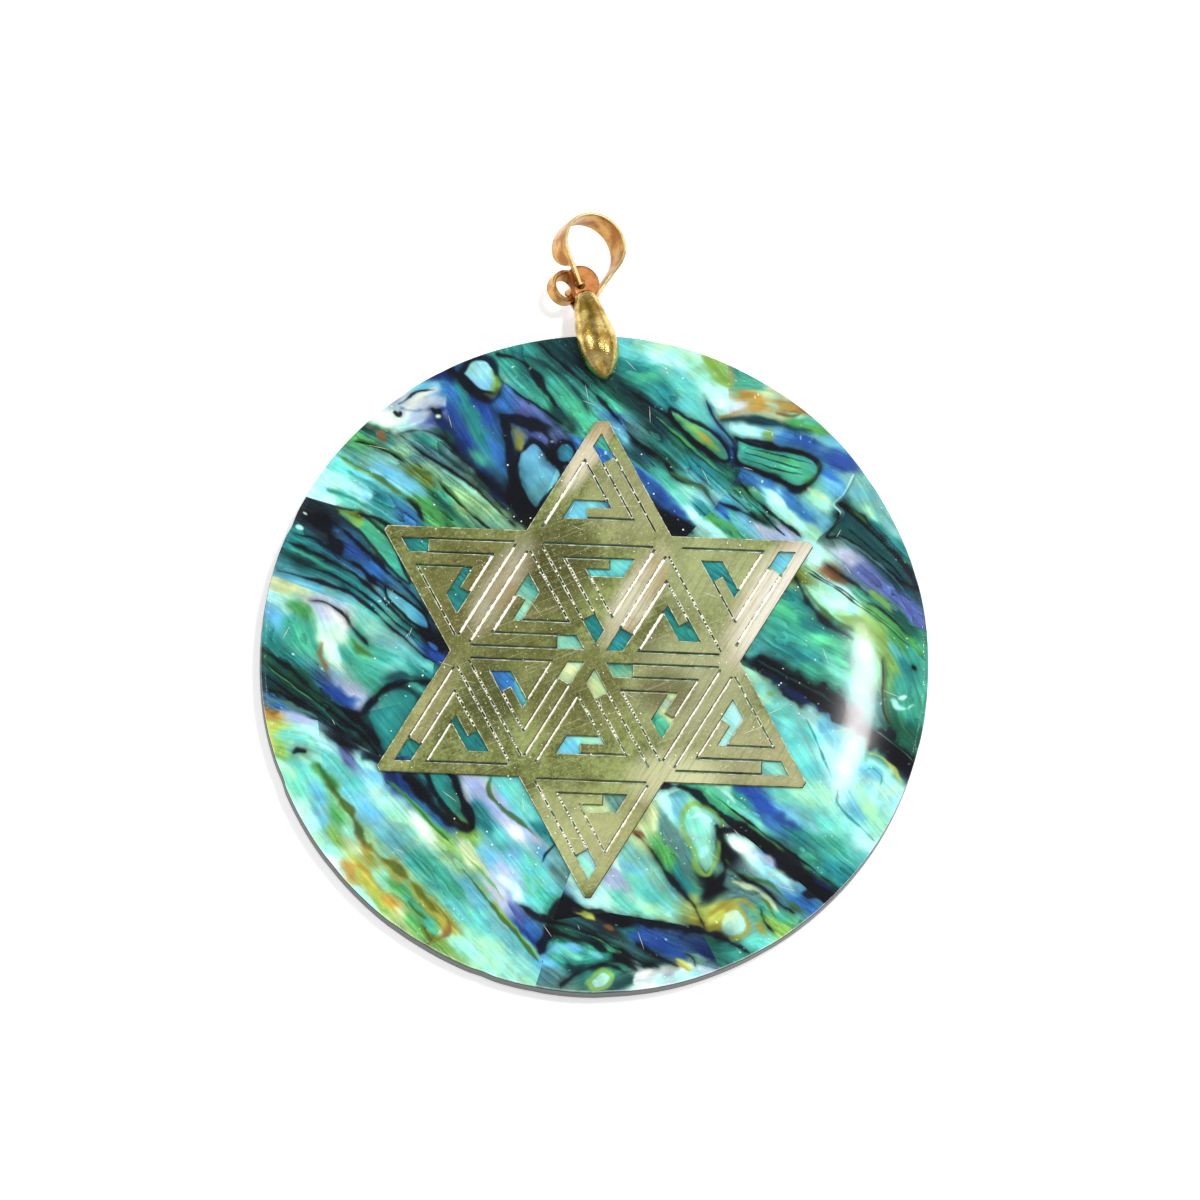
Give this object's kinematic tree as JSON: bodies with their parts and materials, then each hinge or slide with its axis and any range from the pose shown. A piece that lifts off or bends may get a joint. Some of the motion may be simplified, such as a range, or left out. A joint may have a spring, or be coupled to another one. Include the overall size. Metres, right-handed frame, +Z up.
{
  "type": "shell mosaic pendant",
  "caption": "Round pendant with an abalone shell mosaic under a clear domed cover, a pierced brass star, and a gold pinch bail.",
  "frame": {"origin": "middle of the bounding box seen from above, at the height of its lowest point", "axes": "+Z up out of the shell face, +Y from the disc towards the bail, +X to the right as the face is seen"},
  "size_m": [0.05, 0.0595, 0.0058],
  "materials": {
    "backing": "satin dark resin",
    "shell": "polished iridescent shell",
    "star": "fine brushed brass",
    "cover": "clear polished resin",
    "bail": "gold-plated, slightly worn"
  },
  "bodies": {
    "pendant": {"backing": "backing", "shell_top": "shell", "shell_eyes": "shell", "shell_stripes": "shell", "shell_blue_left": "shell", "shell_swirl": "shell", "shell_dark_left": "shell", "shell_yellow_rim": "shell", "shell_long": "shell", "shell_lilac": "shell", "shell_bottom": "shell", "shell_lower_right": "shell", "shell_turquoise": "shell", "shell_teal": "shell", "shell_violet": "shell", "shell_upper_right": "shell", "shell_middle": "shell", "star_plate": "star", "clear_cover": "cover", "front_leaf": "bail", "back_leaf": "bail"},
    "bail": {"bail_loop": "bail"}
  },
  "joints": [
    {"name": "bail_turn", "type": "hinge", "parent": "pendant", "child": "bail", "pos_m": [-0.00212, 0.0239, 0.00386], "axis": [0.3817, 0.1432, 0.9131], "range_deg": [-5, 60]}
  ]
}
